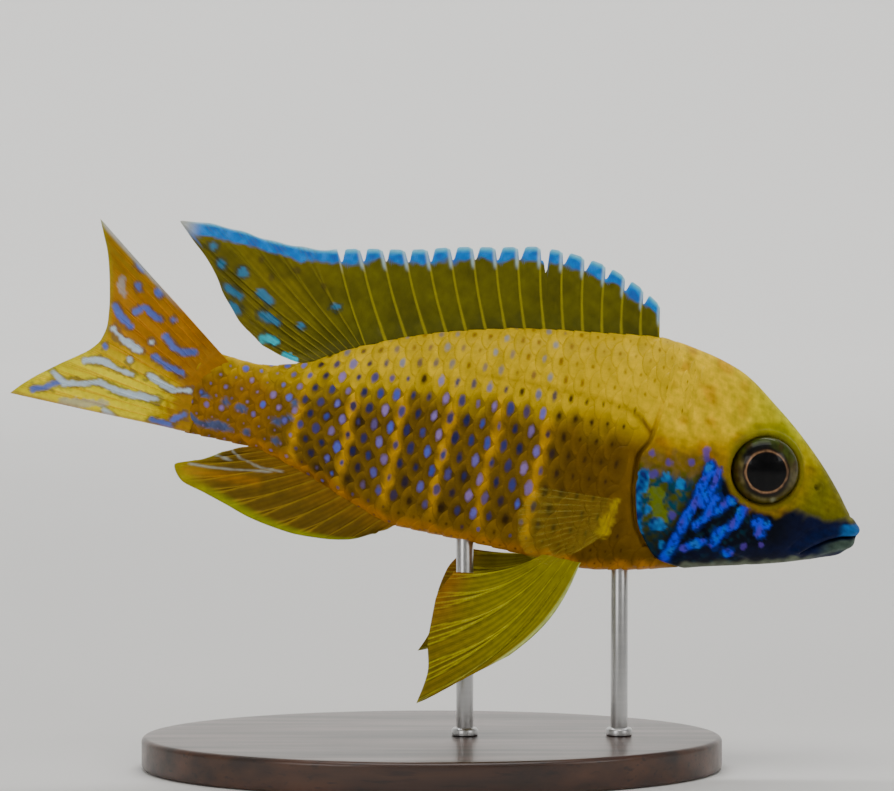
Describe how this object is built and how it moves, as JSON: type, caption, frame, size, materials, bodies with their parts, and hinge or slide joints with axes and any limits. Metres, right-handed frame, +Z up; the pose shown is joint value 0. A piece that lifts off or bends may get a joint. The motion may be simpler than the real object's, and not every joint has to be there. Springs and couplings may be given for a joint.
{
  "type": "peacock cichlid, life-size still model on a display stand",
  "caption": "Still, life-size male peacock cichlid with spread fins, held over an oval base by two thin rods.",
  "frame": {"origin": "middle of the underside of the stand's base, which is also the middle of the whole object's box seen from above", "axes": "+X towards the fish's snout, +Y to the fish's left, +Z up"},
  "size_m": [0.1288, 0.056, 0.0832],
  "materials": {
    "scaled_skin": "scaly fish skin, moist sheen",
    "fin_membrane": "thin rayed fin membrane, soft sheen",
    "clear_fin": "clear yellowish fin membrane, soft sheen",
    "eye": "glossy wet eye",
    "dark_wood": "dark stained, satin lacquer",
    "steel_rod": "satin round bar"
  },
  "bodies": {
    "root": {"head": "scaled_skin", "trunk": "scaled_skin", "tail": "scaled_skin", "eye_left": "eye", "eye_right": "eye", "dorsal_fin": "fin_membrane", "caudal_fin": "fin_membrane", "anal_fin": "fin_membrane", "pelvic_fin_left": "fin_membrane", "pelvic_fin_right": "fin_membrane", "pectoral_fin_left": "clear_fin", "pectoral_fin_right": "clear_fin", "stand_base": "dark_wood", "stand_rod_front": "steel_rod", "stand_rod_back": "steel_rod"}
  },
  "joints": []
}
